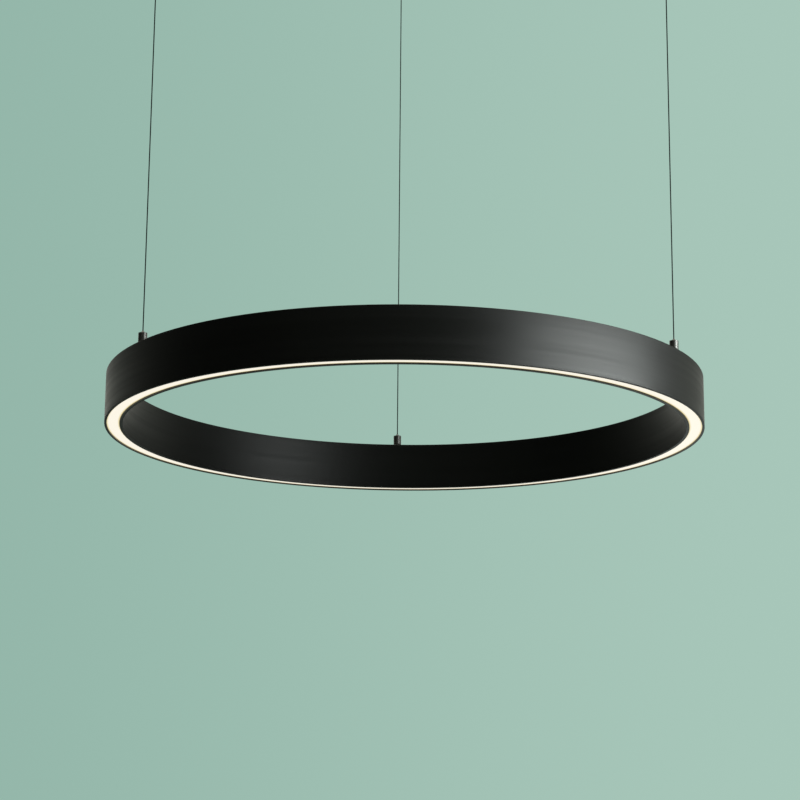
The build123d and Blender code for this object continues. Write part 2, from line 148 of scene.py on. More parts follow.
def read_route(route):
    """The points that the spline passes through, as Blender evaluates it."""
    bpy.context.view_layer.update()
    seen = route.evaluated_get(bpy.context.evaluated_depsgraph_get())
    line = bpy.data.meshes.new_from_object(seen)
    points = [vertex.co.copy() for vertex in line.vertices]
    bpy.data.meshes.remove(line)
    return points


routes = {side: lay_route(side) for side in SIDES}
paths = {side: read_route(route) for side, route in routes.items()}
print("ropes of", [round(1000 * (path[0] - path[-1]).length, 1) for path in paths.values()], "mm")

# %% [markdown]
# ## Small helpers for nodes
#
# Geometry trees and materials are both made of nodes, and a script that spells out each one is hard to
# read. Three helpers are enough. One adds a node with its settings and joins what feeds it, one starts a
# group with named sockets, which is how a group says what it needs, and one does a step of arithmetic.

# %% Node helpers
def add(tree, kind, inputs=None, **settings):
    """A node with its properties set. Its inputs, by name or number, get a plain value or a link."""
    made = tree.nodes.new(kind)
    for name, value in settings.items():
        setattr(made, name, value)
    for name, value in (inputs or {}).items():
        if isinstance(value, bpy.types.NodeSocket):
            tree.links.new(value, made.inputs[name])
        else:
            made.inputs[name].default_value = value
    return made


def new_group(name, kind, inputs, outputs):
    """A node group with named sockets. Each input is a name, a socket type and a value."""
    tree = bpy.data.node_groups.new(name, kind)
    for label, socket, value in inputs:
        made = tree.interface.new_socket(label, in_out="INPUT", socket_type=socket)
        if value is not None:
            made.default_value = value
    for label, socket in outputs:
        tree.interface.new_socket(label, in_out="OUTPUT", socket_type=socket)
    return tree, add(tree, "NodeGroupInput").outputs, add(tree, "NodeGroupOutput").inputs


def calc(tree, operation, first, second=0.0):
    """One step of arithmetic on numbers or sockets."""
    made = add(tree, "ShaderNodeMath", {0: first, 1: second}, operation=operation)
    return made.outputs[0]


print("node helpers ready")

# %% [markdown]
# ## Strands of a rope
#
# Wire rope of this size is six strands laid round a core. Modelling one strand as a helix and copying it
# would work, but a geometry tree says the rule itself: copy the route six times, push each copy out to the
# lay circle, turn it on as it goes along, and give it a round section. Its inputs are what a rope maker
# would write down.

# %% Strand tree
CORE_STEP = 0.02
STRAND_SIDES = 6


def make_strand_tree():
    """Strands and a core along a route."""
    tree, given, result = new_group(
        "laid_strands",
        "GeometryNodeTree",
        [
            ("Route", "NodeSocketGeometry", None),
            ("Strands", "NodeSocketInt", 6),
            ("Strand radius", "NodeSocketFloat", 0.0001),
            ("Lay radius", "NodeSocketFloat", 0.0003),
            ("Lay length", "NodeSocketFloat", 0.01),
            ("Step", "NodeSocketFloat", 0.001),
            ("Finish", "NodeSocketMaterial", None),
        ],
        [("Rope", "NodeSocketGeometry")],
    )
    core, fine = (
        add(tree, "GeometryNodeResampleCurve", {"Curve": given["Route"], "Length": step}, mode="LENGTH")
        for step in (CORE_STEP, given["Step"])
    )
    copies = add(
        tree,
        "GeometryNodeDuplicateElements",
        {"Geometry": fine.outputs[0], "Amount": given["Strands"]},
        domain="SPLINE",
    )
    along = add(tree, "GeometryNodeSplineParameter")
    turns = calc(tree, "DIVIDE", along.outputs["Length"], given["Lay length"])
    share = calc(tree, "DIVIDE", copies.outputs["Duplicate Index"], given["Strands"])
    angle = calc(tree, "MULTIPLY", calc(tree, "ADD", turns, share), 2 * pi)
    across = calc(tree, "MULTIPLY", calc(tree, "COSINE", angle), given["Lay radius"])
    deep = calc(tree, "MULTIPLY", calc(tree, "SINE", angle), given["Lay radius"])
    push = add(tree, "ShaderNodeCombineXYZ", {"X": across, "Y": deep})
    laid = add(tree, "GeometryNodeSetPosition", {"Geometry": copies.outputs[0], "Offset": push.outputs[0]})
    both = add(tree, "GeometryNodeJoinGeometry")
    tree.links.new(laid.outputs[0], both.inputs[0])
    tree.links.new(core.outputs[0], both.inputs[0])
    section = add(
        tree,
        "GeometryNodeCurvePrimitiveCircle",
        {"Resolution": STRAND_SIDES, "Radius": given["Strand radius"]},
    )
    tube = add(
        tree,
        "GeometryNodeCurveToMesh",
        {"Curve": both.outputs[0], "Profile Curve": section.outputs[0], "Fill Caps": True},
    )
    smooth = add(tree, "GeometryNodeSetShadeSmooth", {"Geometry": tube.outputs[0]})
    real = add(tree, "GeometryNodeRealizeInstances", {"Geometry": smooth.outputs[0]})
    finish = add(tree, "GeometryNodeSetMaterial", {"Geometry": real.outputs[0], "Material": given["Finish"]})
    tree.links.new(finish.outputs[0], result[0])
    return tree


strand_tree = make_strand_tree()
print("strand tree with", len(strand_tree.nodes), "nodes")

# %% [markdown]
# ## From a tree to a mesh
#
# A geometry tree works inside a modifier. A piece has to be a plain mesh in the end, so its tree runs once
# on the object that holds its route or its places, the result is copied into a new object, and the modifier
# goes.

# %% Run a tree
def grow(source, tree, name, values):
    """Runs a geometry tree on an object and returns the result as a plain mesh object of its own."""
    modifier = source.modifiers.new(tree.name, "NODES")
    modifier.node_group = tree
    for item in tree.interface.items_tree:
        if item.in_out == "INPUT" and item.name in values:
            modifier[item.identifier] = values[item.name]
    bpy.context.view_layer.update()
    seen = source.evaluated_get(bpy.context.evaluated_depsgraph_get())
    mesh = bpy.data.meshes.new_from_object(seen)
    mesh.name = name
    source.modifiers.remove(modifier)
    piece = bpy.data.objects.new(name, mesh)
    bpy.context.scene.collection.objects.link(piece)
    return piece


def mark_places(name, points):
    """An object of loose points, on which a tree puts its copies."""
    spots = bpy.data.meshes.new(name)
    spots.from_pydata(points, [], [])
    source = bpy.data.objects.new(name, spots)
    bpy.context.scene.collection.objects.link(source)
    return source


print("trees can run")

# %% [markdown]
# ## Effects that several finishes share
#
# Paint, moulded plastic and plated metal look real because of what happens on a small scale: a pebbled
# skin, rings left by the lathe, marks from hands, and the dust that settles on faces that look up. Each of
# these is a group with its own sizes, so a finish only says how coarse and how strong it is.

# %% Fine grain
GRAINS_PER_CLOUD = 24.0


def make_fine_grain():
    """The pebble of a skin, and slow clouds of tone."""
    tree, given, result = new_group(
        "fine_grain",
        "ShaderNodeTree",
        [("Vector", "NodeSocketVector", None), ("Grain size", "NodeSocketFloat", 0.0005)],
        [("Height", "NodeSocketFloat"), ("Tone", "NodeSocketFloat")],
    )
    fineness = calc(tree, "DIVIDE", 1.0, given["Grain size"])
    pebble = add(tree, "ShaderNodeTexNoise", {"Vector": given["Vector"], "Scale": fineness, "Detail": 3.0})
    cloud = add(
        tree,
        "ShaderNodeTexNoise",
        {"Vector": given["Vector"], "Scale": calc(tree, "DIVIDE", fineness, GRAINS_PER_CLOUD), "Detail": 2.0},
    )
    tree.links.new(pebble.outputs[0], result["Height"])
    tree.links.new(cloud.outputs[0], result["Tone"])
    return tree


fine_grain = make_fine_grain()
print("effect:", fine_grain.name)

# %% Turned lines
def make_turned_lines():
    """Uneven rings round the vertical, as a lathe leaves them."""
    tree, given, result = new_group(
        "turned_lines",
        "ShaderNodeTree",
        [("Vector", "NodeSocketVector", None), ("Line pitch", "NodeSocketFloat", 0.0001)],
        [("Height", "NodeSocketFloat")],
    )
    parts = add(tree, "ShaderNodeSeparateXYZ", {0: given["Vector"]})
    line = add(
        tree,
        "ShaderNodeTexNoise",
        {"W": calc(tree, "DIVIDE", parts.outputs["Z"], given["Line pitch"]), "Scale": 1.0, "Detail": 2.0},
        noise_dimensions="1D",
    )
    tree.links.new(line.outputs[0], result["Height"])
    return tree


turned_lines = make_turned_lines()
print("effect:", turned_lines.name)

# %% Hand marks
NOISE_LOW, NOISE_HIGH = 0.35, 0.7


def make_hand_marks():
    """Patches that are rougher where the surface was touched."""
    tree, given, result = new_group(
        "hand_marks",
        "ShaderNodeTree",
        [
            ("Vector", "NodeSocketVector", None),
            ("Mark size", "NodeSocketFloat", 0.02),
            ("Clean", "NodeSocketFloat", 0.3),
            ("Touched", "NodeSocketFloat", 0.4),
        ],
        [("Roughness", "NodeSocketFloat")],
    )
    patch = add(
        tree,
        "ShaderNodeTexNoise",
        {"Vector": given["Vector"], "Scale": calc(tree, "DIVIDE", 1.0, given["Mark size"]), "Detail": 4.0},
    )
    spread = add(
        tree,
        "ShaderNodeMapRange",
        {
            "Value": patch.outputs[0],
            "From Min": NOISE_LOW,
            "From Max": NOISE_HIGH,
            "To Min": given["Clean"],
            "To Max": given["Touched"],
        },
    )
    tree.links.new(spread.outputs[0], result["Roughness"])
    return tree


hand_marks = make_hand_marks()
print("effect:", hand_marks.name)

# %% Settled dust
DUSTY_SLOPE = 0.6
DUST_PER_METRE = 900.0


def make_settled_dust():
    """Specks on the faces that look up."""
    tree, given, result = new_group(
        "settled_dust",
        "ShaderNodeTree",
        [("Vector", "NodeSocketVector", None), ("Amount", "NodeSocketFloat", 0.1)],
        [("Mask", "NodeSocketFloat")],
    )
    facing = add(tree, "ShaderNodeSeparateXYZ", {0: add(tree, "ShaderNodeNewGeometry").outputs["Normal"]})
    upward = add(
        tree,
        "ShaderNodeMapRange",
        {"Value": facing.outputs["Z"], "From Min": DUSTY_SLOPE, "From Max": 1.0},
    )
    speck = add(
        tree,
        "ShaderNodeTexNoise",
        {"Vector": given["Vector"], "Scale": DUST_PER_METRE, "Detail": 4.0},
    )
    patch = calc(tree, "MULTIPLY", upward.outputs[0], speck.outputs[0])
    tree.links.new(calc(tree, "MULTIPLY", patch, given["Amount"]), result["Mask"])
    return tree


settled_dust = make_settled_dust()
print("effect:", settled_dust.name)

# %% [markdown]
# ## Starting a finish
#
# Every finish begins with the same few nodes: one shader, the object's own coordinates, and a bump that
# turns a height into a normal. Values that are the same all over are typed into the shader's sockets. Only
# what changes over the surface is joined to it.

# %% Finish helpers
def start_finish(name, **plain):
    """A material with one shader. Plain values go straight into the shader's sockets."""
    finish = bpy.data.materials.new(name)
    finish.use_nodes = True
    tree = finish.node_tree
    tree.nodes.clear()
    shader = add(tree, "ShaderNodeBsdfPrincipled")
    for label, value in plain.items():
        shader.inputs[label.replace("_", " ")].default_value = value
    add(tree, "ShaderNodeOutputMaterial", {"Surface": shader.outputs[0]})
    place = add(tree, "ShaderNodeTexCoord").outputs["Object"]
    return finish, tree, shader.inputs, place


def use_group(tree, group, **values):
    """A shared effect, placed in a material with its own values."""
    made = add(tree, "ShaderNodeGroup", node_tree=group)
    for label, value in values.items():
        socket = made.inputs[label.replace("_", " ")]
        if isinstance(value, bpy.types.NodeSocket):
            tree.links.new(value, socket)
        else:
            socket.default_value = value
    return made.outputs


def bump(tree, height, depth):
    """A normal from a height that goes from 0 to 1, over a depth in metres."""
    made = add(tree, "ShaderNodeBump", {"Height": height, "Distance": depth, "Strength": 1.0})
    return made.outputs[0]


def two_tones(tree, amount, first, second):
    """A colour between two, by an amount that changes over the surface."""
    mix = add(tree, "ShaderNodeMix", {0: amount}, data_type="RGBA")
    mix.inputs[6].default_value = (*first, 1.0)
    mix.inputs[7].default_value = (*second, 1.0)
    return mix.outputs[2]


finishes = {}
print("finish helpers ready")

# %% [markdown]
# ## Satin black powder coat
#
# The ring, the cups and the collars are powder coated. The coat melts into a skin with a very fine pebble,
# so it reflects softly and shows broad, blurred highlights. The pebble is under half a millimetre, and the
# black is not quite even. A cloth runs along the wall when the ring is wiped, so its marks are stretched:
# half a metre long and a few millimetres high. They draw faint streaks through a highlight. A little dust
# lies on the faces that look up.

# %% Powder coat
COAT_DARK, COAT_LIGHT = (0.0015, 0.0021, 0.0014), (0.0030, 0.0038, 0.0028)
COAT_GRAIN, COAT_GRAIN_DEPTH = 0.0004, 0.00001
DUST_TONE, DUST_AMOUNT = (0.30, 0.29, 0.27, 1.0), 0.05
STREAKS_PER_METRE = (2.0, 2.0, 220.0)

finish, tree, shader, place = start_finish("satin_black_coat")
grain = use_group(tree, fine_grain, Vector=place, Grain_size=COAT_GRAIN)
dust = use_group(tree, settled_dust, Vector=place, Amount=DUST_AMOUNT)
coat = two_tones(tree, grain["Tone"], COAT_DARK, COAT_LIGHT)
dusty = add(tree, "ShaderNodeMix", {0: dust["Mask"], 6: coat, 7: DUST_TONE}, data_type="RGBA")
tree.links.new(dusty.outputs[2], shader["Base Color"])
wiped = add(tree, "ShaderNodeVectorMath", {0: place, 1: STREAKS_PER_METRE}, operation="MULTIPLY")
marks = use_group(tree, hand_marks, Vector=wiped.outputs[0], Mark_size=1.0, Clean=0.415, Touched=0.485)
tree.links.new(marks["Roughness"], shader["Roughness"])
tree.links.new(bump(tree, grain["Height"], COAT_GRAIN_DEPTH), shader["Normal"])
finishes["black_aluminium"] = finish
print("coat:", finish.name)

# %% [markdown]
# ## The lit diffuser
#
# The diffuser is opal acrylic with the chips far behind it, so it glows evenly and only falls off in the
# last two millimetres beside the lips, where it turns amber. The falloff depends on the distance from the
# middle of the band, so it is worked out from the object's own coordinates and needs no picture.

# %% Lit diffuser
BAND_CIRCLE = 0.29135
BAND_HALF = 0.00625
EDGE_FROM = 0.70
WARM_WHITE = (0.985, 0.912, 0.785, 1.0)
AMBER = (0.76, 0.62, 0.27, 1.0)
OPAL = (0.20, 0.19, 0.17, 1.0)
OPAL_GRAIN, OPAL_GRAIN_DEPTH = 0.0003, 0.000004

finish, tree, shader, place = start_finish(
    "lit_opal",
    Roughness=0.45,
    Specular_IOR_Level=0.25,
    Emission_Strength=0.94,
    Base_Color=OPAL,
)
flat = add(tree, "ShaderNodeVectorMath", {0: place, 1: (1.0, 1.0, 0.0)}, operation="MULTIPLY")
reach = add(tree, "ShaderNodeVectorMath", {0: flat.outputs[0]}, operation="LENGTH")
off_middle = calc(tree, "ABSOLUTE", calc(tree, "SUBTRACT", reach.outputs["Value"], BAND_CIRCLE))
share = calc(tree, "DIVIDE", off_middle, BAND_HALF)
ramp = add(tree, "ShaderNodeValToRGB", {0: share})
middle, edge = ramp.color_ramp.elements
middle.position, middle.color = EDGE_FROM, WARM_WHITE
edge.position, edge.color = 1.0, AMBER
tree.links.new(ramp.outputs[0], shader["Emission Color"])
haze = use_group(tree, fine_grain, Vector=place, Grain_size=OPAL_GRAIN)
tree.links.new(bump(tree, haze["Height"], OPAL_GRAIN_DEPTH), shader["Normal"])
finishes["opal_diffuser"] = finish
print("diffuser:", finish.name)

# %% [markdown]
# ## Polished and turned metal
#
# The grippers are turned from brass rod and plated with dark nickel. They mirror the room a little blurred,
# and show the faint rings of the lathe and the marks of the hands that set the height. The brass, zinc
# plated and bare metal pieces inside use the same two effects, only coarser. A row of the table gives a
# metal's name, its darker and lighter tone, the pitch of its rings, how rough it is clean and touched, and
# how deep a ring is.

# %% Metals
METAL_MARKS = 0.004
METALS = {
    "nickel": ("dark_nickel", (0.21, 0.21, 0.20), (0.27, 0.27, 0.26), 0.00012, 0.38, 0.46, 0.0000004),
    "brass": ("turned_brass", (0.70, 0.52, 0.25), (0.78, 0.61, 0.33), 0.0002, 0.22, 0.32, 0.000002),
    "plated_steel": (
        "zinc_plated_steel", (0.50, 0.51, 0.53), (0.60, 0.61, 0.62), 0.0002, 0.25, 0.36, 0.000002
    ),
    "bare_aluminium": (
        "mill_aluminium", (0.66, 0.67, 0.68), (0.76, 0.76, 0.77), 0.0003, 0.32, 0.45, 0.000003
    ),
}
for slot, (name, low_tone, high_tone, pitch, clean, touched, depth) in METALS.items():
    finish, tree, shader, place = start_finish(name, Metallic=1.0)
    lines = use_group(tree, turned_lines, Vector=place, Line_pitch=pitch)
    marks = use_group(tree, hand_marks, Vector=place, Mark_size=METAL_MARKS, Clean=clean, Touched=touched)
    tree.links.new(two_tones(tree, lines["Height"], low_tone, high_tone), shader["Base Color"])
    tree.links.new(marks["Roughness"], shader["Roughness"])
    tree.links.new(bump(tree, lines["Height"], depth), shader["Normal"])
    finishes[slot] = finish
print("metals:", ", ".join(METALS))

# %% [markdown]
# ## Moulded and coated pieces
#
# The seats, the driver's case, the clips and the leads are moulded or extruded plastic, and the board has a
# coat of white lacquer. They share the pebbled grain and differ in colour, in how coarse it is, and in how
# much they shine. A row of the table gives a plastic's name, its darker and lighter tone, the size of its
# grain, and how rough it is clean and touched.

# %% Plastics
PLASTIC_MARKS = 0.01
PLASTIC_GRAIN_DEPTH = 0.00001
PLASTICS = {
    "black_plastic": ("moulded_black", (0.010, 0.010, 0.011), (0.018, 0.018, 0.019), 0.0005, 0.45, 0.55),
    "driver_case": ("driver_grey", (0.09, 0.09, 0.10), (0.13, 0.13, 0.14), 0.0006, 0.50, 0.60),
    "white_board": ("white_solder_mask", (0.80, 0.80, 0.77), (0.88, 0.88, 0.86), 0.0010, 0.35, 0.45),
    "red_lead": ("red_insulation", (0.42, 0.025, 0.02), (0.52, 0.04, 0.03), 0.0008, 0.35, 0.45),
    "black_lead": ("black_insulation", (0.012, 0.012, 0.012), (0.02, 0.02, 0.02), 0.0008, 0.35, 0.45),
    "nylon": ("moulded_nylon", (0.72, 0.71, 0.66), (0.80, 0.79, 0.74), 0.0006, 0.40, 0.50),
}
for slot, (name, low_tone, high_tone, size, clean, touched) in PLASTICS.items():
    finish, tree, shader, place = start_finish(name)
    grain = use_group(tree, fine_grain, Vector=place, Grain_size=size)
    marks = use_group(tree, hand_marks, Vector=place, Mark_size=PLASTIC_MARKS, Clean=clean, Touched=touched)
    tree.links.new(two_tones(tree, grain["Tone"], low_tone, high_tone), shader["Base Color"])
    tree.links.new(marks["Roughness"], shader["Roughness"])
    tree.links.new(bump(tree, grain["Height"], PLASTIC_GRAIN_DEPTH), shader["Normal"])
    finishes[slot] = finish
print("plastics:", ", ".join(PLASTICS))

# %% [markdown]
# ## Light chips
#
# Each chip is a small white package with a yellow phosphor face. They are behind the opal band, so a soft
# glow and a slightly uneven phosphor are enough.

# %% Light chips
PHOSPHOR_DARK, PHOSPHOR_LIGHT = (0.92, 0.66, 0.22), (0.98, 0.80, 0.36)
PHOSPHOR_GRAIN = 0.0003

finish, tree, shader, place = start_finish("phosphor", Roughness=0.5, Emission_Strength=0.6)
speck = use_group(tree, fine_grain, Vector=place, Grain_size=PHOSPHOR_GRAIN)
phosphor = two_tones(tree, speck["Height"], PHOSPHOR_DARK, PHOSPHOR_LIGHT)
tree.links.new(phosphor, shader["Base Color"])
tree.links.new(phosphor, shader["Emission Color"])
finishes["led_phosphor"] = finish
print("chips:", finish.name)

# %% [markdown]
# ## Blackened rope steel
#
# The ropes are steel with a black oxide finish. It is nearly black, with a fine uneven grain, and rougher in
# the places where the rope was handled.

# %% Rope steel
OXIDE_DARK, OXIDE_LIGHT = (0.003, 0.003, 0.003), (0.010, 0.010, 0.010)
OXIDE_GRAIN, OXIDE_MARKS = 0.00025, 0.01

finish, tree, shader, place = start_finish("black_oxide_steel", Specular_IOR_Level=0.3)
grain = use_group(tree, fine_grain, Vector=place, Grain_size=OXIDE_GRAIN)
oxide = two_tones(tree, grain["Height"], OXIDE_DARK, OXIDE_LIGHT)
tree.links.new(oxide, shader["Base Color"])
marks = use_group(tree, hand_marks, Vector=place, Mark_size=OXIDE_MARKS, Clean=0.40, Touched=0.55)
tree.links.new(marks["Roughness"], shader["Roughness"])
finishes["black_wire"] = finish
print("rope:", finish.name)

# %% [markdown]
# ## Dressing the solids
#
# The record says which finish each solid has, so one loop hands them out. No solid is moved or reshaped.

# %% Hand out the finishes
for part in frame["record"]["subparts"]:
    solid = frame["nodes"][part["node"]]
    solid.material_slots[0].material = finishes[part["material_slot"]]
print(len(frame["nodes"]), "solids dressed")

# %% [markdown]
# ## The ropes
#
# Now the routes get their strands. Each strand is a third as thick as the rope, and one full turn of the
# lay is about six times the rope's thickness. Each rope moves with the crimped end that carries it.

# %% Make the ropes
STRANDS = 6
STRAND_DIAMETER = ROPE_DIAMETER / 3
LAY_LENGTH = 0.007
STEPS_PER_TURN = 9

for side, route in routes.items():
    rope = grow(
        route,
        strand_tree,
        f"{side}_wire_rope",
        {
            "Strands": STRANDS,
            "Strand radius": STRAND_DIAMETER / 2,
            "Lay radius": (ROPE_DIAMETER - STRAND_DIAMETER) / 2,
            "Lay length": LAY_LENGTH,
            "Step": LAY_LENGTH / STEPS_PER_TURN,
            "Finish": finishes["black_wire"],
        },
    )
    bpy.data.objects.remove(route)
    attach(rope, f"{side}_suspension")
    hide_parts(f"{side}_wire")
    print(rope.name, len(rope.data.polygons), "faces")

# %% [markdown]
# ## Grub screws in the cups
#
# One grub screw with a hexagon socket holds each cup on its base. A rod with a socket cut into its end is
# the same three times, so a geometry tree makes one and puts a copy on every point it is given, facing the
# rear.

# %% Screw tree
ROD_SIDES = 48
SOCKET_SIDES = 6
FACING_REAR = (-pi / 2, 0.0, 0.0)


def make_screw_tree():
    """A rod with a hexagon socket in its rear end, on every place."""
    tree, given, result = new_group(
        "socket_screws",
        "GeometryNodeTree",
        [
            ("Places", "NodeSocketGeometry", None),
            ("Radius", "NodeSocketFloat", 0.0015),
            ("Length", "NodeSocketFloat", 0.002),
            ("Socket radius", "NodeSocketFloat", 0.0009),
            ("Socket depth", "NodeSocketFloat", 0.001),
            ("Finish", "NodeSocketMaterial", None),
        ],
        [("Screws", "NodeSocketGeometry")],
    )
    rod = add(
        tree,
        "GeometryNodeMeshCylinder",
        {"Vertices": ROD_SIDES, "Radius": given["Radius"], "Depth": given["Length"]},
    )
    through = calc(tree, "MULTIPLY", given["Socket depth"], 2.0)
    socket = add(
        tree,
        "GeometryNodeMeshCylinder",
        {"Vertices": SOCKET_SIDES, "Radius": given["Socket radius"], "Depth": through},
    )
    end = add(tree, "ShaderNodeCombineXYZ", {"Z": calc(tree, "DIVIDE", given["Length"], 2.0)})
    cutter = add(
        tree,
        "GeometryNodeTransform",
        {"Geometry": socket.outputs[0], "Translation": end.outputs[0]},
    )
    cut = add(tree, "GeometryNodeMeshBoolean", operation="DIFFERENCE", solver="EXACT")
    tree.links.new(rod.outputs[0], cut.inputs["Mesh 1"])
    tree.links.new(cutter.outputs[0], cut.inputs["Mesh 2"])
    copies = add(
        tree,
        "GeometryNodeInstanceOnPoints",
        {"Points": given["Places"], "Instance": cut.outputs[0], "Rotation": FACING_REAR},
    )
    real = add(tree, "GeometryNodeRealizeInstances", {"Geometry": copies.outputs[0]})
    finish = add(tree, "GeometryNodeSetMaterial", {"Geometry": real.outputs[0], "Material": given["Finish"]})
    tree.links.new(finish.outputs[0], result[0])
    return tree


screw_tree = make_screw_tree()
print("screw tree with", len(screw_tree.nodes), "nodes")

# %% Place the screws
SCREW_LENGTH = 0.002
SOCKET_SHARE = 0.6
SOCKET_DEPTH = 0.0012

screw_low, screw_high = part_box("cup_grub_screws")
screw_radius = (screw_high.z - screw_low.z) / 2
to_rear = Vector((0, screw_high.y - ROPE_CIRCLE - SCREW_LENGTH / 2, 0))
level = (screw_high.z + screw_low.z) / 2
source = mark_places("screw_places", [rope_point(side, level) + to_rear for side in SIDES])
screws = grow(
    source,
    screw_tree,
    "socket_grub_screws",
    {
        "Radius": screw_radius,
        "Length": SCREW_LENGTH,
        "Socket radius": SOCKET_SHARE * screw_radius,
        "Socket depth": SOCKET_DEPTH,
        "Finish": finishes["plated_steel"],
    },
)
bpy.data.objects.remove(source)
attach(screws, "ceiling")
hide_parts("cup_grub_screws")
print(screws.name, len(screws.data.polygons), "faces")

# %% [markdown]
# ## The gripper springs
#
# Pressing a gripper's tip lowers the clamping balls, and the spring under them shortens by as much. A
# geometry tree winds the coils, and each spring moves with its gripper.

# %% Spring tree
STEPS_PER_COIL = 32
SPRING_SIDES = 10


def make_spring_tree():
    """A round wire wound upwards from every place."""
    tree, given, result = new_group(
        "coil_springs",
        "GeometryNodeTree",
        [
            ("Places", "NodeSocketGeometry", None),
            ("Turns", "NodeSocketFloat", 4.5),
            ("Coil radius", "NodeSocketFloat", 0.0015),
            ("Rise", "NodeSocketFloat", 0.003),
            ("Wire radius", "NodeSocketFloat", 0.00015),
            ("Finish", "NodeSocketMaterial", None),
        ],
        [("Springs", "NodeSocketGeometry")],
    )
    coil = add(
        tree,
        "GeometryNodeCurveSpiral",
        {
            "Resolution": STEPS_PER_COIL,
            "Rotations": given["Turns"],
            "Start Radius": given["Coil radius"],
            "End Radius": given["Coil radius"],
            "Height": given["Rise"],
        },
    )
    section = add(
        tree,
        "GeometryNodeCurvePrimitiveCircle",
        {"Resolution": SPRING_SIDES, "Radius": given["Wire radius"]},
    )
    tube = add(
        tree,
        "GeometryNodeCurveToMesh",
        {"Curve": coil.outputs[0], "Profile Curve": section.outputs[0], "Fill Caps": True},
    )
    smooth = add(tree, "GeometryNodeSetShadeSmooth", {"Geometry": tube.outputs[0]})
    copies = add(
        tree,
        "GeometryNodeInstanceOnPoints",
        {"Points": given["Places"], "Instance": smooth.outputs[0]},
    )
    real = add(tree, "GeometryNodeRealizeInstances", {"Geometry": copies.outputs[0]})
    finish = add(tree, "GeometryNodeSetMaterial", {"Geometry": real.outputs[0], "Material": given["Finish"]})
    tree.links.new(finish.outputs[0], result[0])
    return tree


spring_tree = make_spring_tree()
print("spring tree with", len(spring_tree.nodes), "nodes")

# %% Wind the springs
SPRING_TURNS = 4.5
SPRING_WIRE = 0.0003

for side in SIDES:
    spring_low, spring_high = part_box(f"{side}_gripper_spring")
    spring_height = spring_high.z - spring_low.z
    source = mark_places("spring_place", [rope_point(side, spring_low.z + SPRING_WIRE / 2)])
    spring = grow(
        source,
        spring_tree,
        f"{side}_coil_spring",
        {
            "Turns": SPRING_TURNS,
            "Coil radius": (spring_high.x - spring_low.x - SPRING_WIRE) / 2,
            "Rise": spring_height - SPRING_WIRE,
            "Wire radius": SPRING_WIRE / 2,
            "Finish": finishes["plated_steel"],
        },
    )
    bpy.data.objects.remove(source)
    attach(spring, f"{side}_gripper")
    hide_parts(f"{side}_gripper_spring")
    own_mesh(spring)

# %% [markdown]
# ## Three soft boxes
#
# A satin ring shows its form only through what it reflects. A low soft box close at the right gives the
# outer wall one broad highlight, which falls away to black on both sides, and a grid keeps its light off
# the rest. A larger box further out lights the inner wall across the ring, and a faint one behind draws the
# right end. A sun or a small lamp would leave a hard glint instead.

# %% Soft boxes
COOL_WHITE = (0.94, 1.0, 0.975)


def soft_box(name, place, target, width, height, brightness, spread=pi):
    """A soft box of a brightness, where 1 is white paper. A narrow spread is a grid in front of it."""
    lamp = bpy.data.lights.new(name, "AREA")
    lamp.shape = "RECTANGLE"
    lamp.size, lamp.size_y = width, height
    lamp.energy = brightness * pi * width * height
    lamp.color = COOL_WHITE
    lamp.spread = spread
    box = bpy.data.objects.new(name, lamp)
    box.location = place
    box.rotation_mode = "QUATERNION"
    box.rotation_quaternion = (Vector(target) - Vector(place)).to_track_quat("-Z", "Y")
    box.visible_camera = False
    bpy.context.scene.collection.objects.link(box)
    return box


right_box = soft_box(
    "right_soft_box",
    place=(0.486, -0.415, -0.61),
    target=(0.136, -0.315, -0.62),
    width=0.50,
    height=0.15,
    brightness=2.8,
    spread=radians(90),
)
far_box = soft_box(
    "far_soft_box",
    place=(1.43, -0.925, -0.19),
    target=(-0.13, 0.25, -0.62),
    width=1.0,
    height=0.7,
    brightness=2.0,
)
rear_box = soft_box(
    "rear_soft_box",
    place=(0.50, 1.10, -0.92),
    target=(0.10, 0.20, -0.62),
    width=0.70,
    height=0.35,
    brightness=0.6,
)
print("boxes of", [round(box.data.energy, 2) for box in (right_box, far_box, rear_box)], "W")

# %% [markdown]
# ## A plain room
#
# The background is pale and plain. Its colour holds painted light and shade: it is painted a little lighter
# towards the soft boxes and darker to the left. The backdrop stands behind the ring, so metal and gloss show
# it only in that direction. The front of the room is dark, and its left and right ends and its lower half are
# dimmed, which keeps the coat black. A brighter rim behind draws the ends of the ring, where its wall is seen
# at a low angle. The ceiling is lit softly, which lights the floor and every face that looks up.

# %% A smooth change
def pass_over(tree, value, span, levels):
    """Goes smoothly from the first level to the second while the value passes over the span."""
    made = add(
        tree,
        "ShaderNodeMapRange",
        {
            "Value": value,
            "From Min": span[0],
            "From Max": span[1],
            "To Min": levels[0],
            "To Max": levels[1],
        },
        interpolation_type="SMOOTHSTEP",
    )
    return made.outputs[0]


print("smooth changes ready")

# %% Room light
ROOM_TONE = (1.0, 0.97, 0.86, 1.0)
FRONT_GLOW, REAR_GLOW = 0.04, 0.47
LEFT_SHARE, RIGHT_SHARE, LOW_SHARE = 0.25, 0.4, 0.15
RIM_GLOW = 1.3
CEILING_GLOW = 2.4

